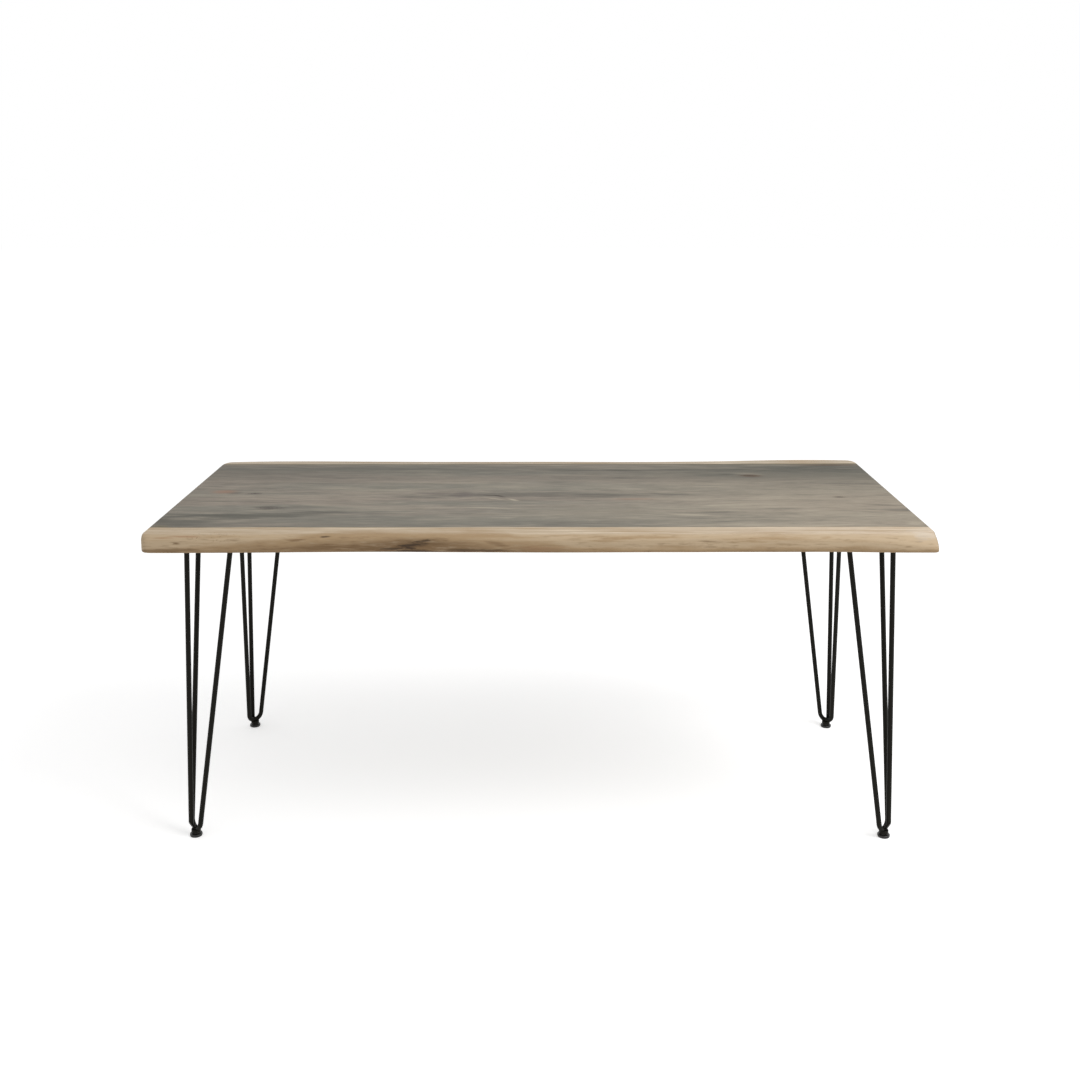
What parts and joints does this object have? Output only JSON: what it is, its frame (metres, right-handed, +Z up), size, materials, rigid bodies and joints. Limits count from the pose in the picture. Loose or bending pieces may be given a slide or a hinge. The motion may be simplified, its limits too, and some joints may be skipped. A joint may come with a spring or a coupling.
{
  "type": "dining table",
  "caption": "Long dining table with a solid live-edge wood slab top, pale sapwood bands along its wavy edges, on black steel hairpin legs with screw-adjustable round feet.",
  "frame": {"origin": "on the floor under the middle of the table's outline", "axes": "+X along the table's length, +Y from the front long edge to the back one, +Z up"},
  "size_m": [1.7772, 0.8174, 0.762],
  "materials": {
    "slab_wood": "oiled grey-brown heartwood with pale sapwood edges",
    "leg_paint": "satin black powder coat",
    "screw_steel": "black oxide",
    "stem_steel": "dark zinc plate",
    "pad_plastic": "black moulded nylon"
  },
  "bodies": {
    "table": {"tabletop_slab": "slab_wood", "mounting_plate_front_left": "leg_paint", "hairpin_rod_front_left": "leg_paint", "corner_rod_front_left": "leg_paint", "foot_boss_front_left": "leg_paint", "plate_screws_front_left": "screw_steel", "mounting_plate_front_right": "leg_paint", "hairpin_rod_front_right": "leg_paint", "corner_rod_front_right": "leg_paint", "foot_boss_front_right": "leg_paint", "plate_screws_front_right": "screw_steel", "mounting_plate_rear_right": "leg_paint", "hairpin_rod_rear_right": "leg_paint", "corner_rod_rear_right": "leg_paint", "foot_boss_rear_right": "leg_paint", "plate_screws_rear_right": "screw_steel", "mounting_plate_rear_left": "leg_paint", "hairpin_rod_rear_left": "leg_paint", "corner_rod_rear_left": "leg_paint", "foot_boss_rear_left": "leg_paint", "plate_screws_rear_left": "screw_steel"},
    "foot_front_left": {"foot_pad_front_left": "pad_plastic"},
    "stem_front_left": {"leveller_stem_front_left": "stem_steel"},
    "foot_front_right": {"foot_pad_front_right": "pad_plastic"},
    "stem_front_right": {"leveller_stem_front_right": "stem_steel"},
    "foot_rear_right": {"foot_pad_rear_right": "pad_plastic"},
    "stem_rear_right": {"leveller_stem_rear_right": "stem_steel"},
    "foot_rear_left": {"foot_pad_rear_left": "pad_plastic"},
    "stem_rear_left": {"leveller_stem_rear_left": "stem_steel"}
  },
  "joints": [
    {"name": "foot_slide_front_left", "type": "slide", "parent": "table", "child": "foot_front_left", "axis": [0, 0, -1], "range_m": [0, 0.01]},
    {"name": "stem_turn_front_left", "type": "hinge", "parent": "foot_front_left", "child": "stem_front_left", "pos_m": [-0.8185, -0.3075, 0.0095], "axis": [0, 0, -1], "range_deg": [0, 3600]},
    {"name": "foot_slide_front_right", "type": "slide", "parent": "table", "child": "foot_front_right", "axis": [0, 0, -1], "range_m": [0, 0.01]},
    {"name": "stem_turn_front_right", "type": "hinge", "parent": "foot_front_right", "child": "stem_front_right", "pos_m": [0.8185, -0.3075, 0.0095], "axis": [0, 0, -1], "range_deg": [0, 3600]},
    {"name": "foot_slide_rear_right", "type": "slide", "parent": "table", "child": "foot_rear_right", "axis": [0, 0, -1], "range_m": [0, 0.01]},
    {"name": "stem_turn_rear_right", "type": "hinge", "parent": "foot_rear_right", "child": "stem_rear_right", "pos_m": [0.8185, 0.3075, 0.0095], "axis": [0, 0, -1], "range_deg": [0, 3600]},
    {"name": "foot_slide_rear_left", "type": "slide", "parent": "table", "child": "foot_rear_left", "axis": [0, 0, -1], "range_m": [0, 0.01]},
    {"name": "stem_turn_rear_left", "type": "hinge", "parent": "foot_rear_left", "child": "stem_rear_left", "pos_m": [-0.8185, 0.3075, 0.0095], "axis": [0, 0, -1], "range_deg": [0, 3600]}
  ],
  "couplings": [
    {"joint": "foot_slide_front_left", "follows": "stem_turn_front_left", "m_per_rad": 0.00015915},
    {"joint": "foot_slide_front_right", "follows": "stem_turn_front_right", "m_per_rad": 0.00015915},
    {"joint": "foot_slide_rear_right", "follows": "stem_turn_rear_right", "m_per_rad": 0.00015915},
    {"joint": "foot_slide_rear_left", "follows": "stem_turn_rear_left", "m_per_rad": 0.00015915}
  ]
}
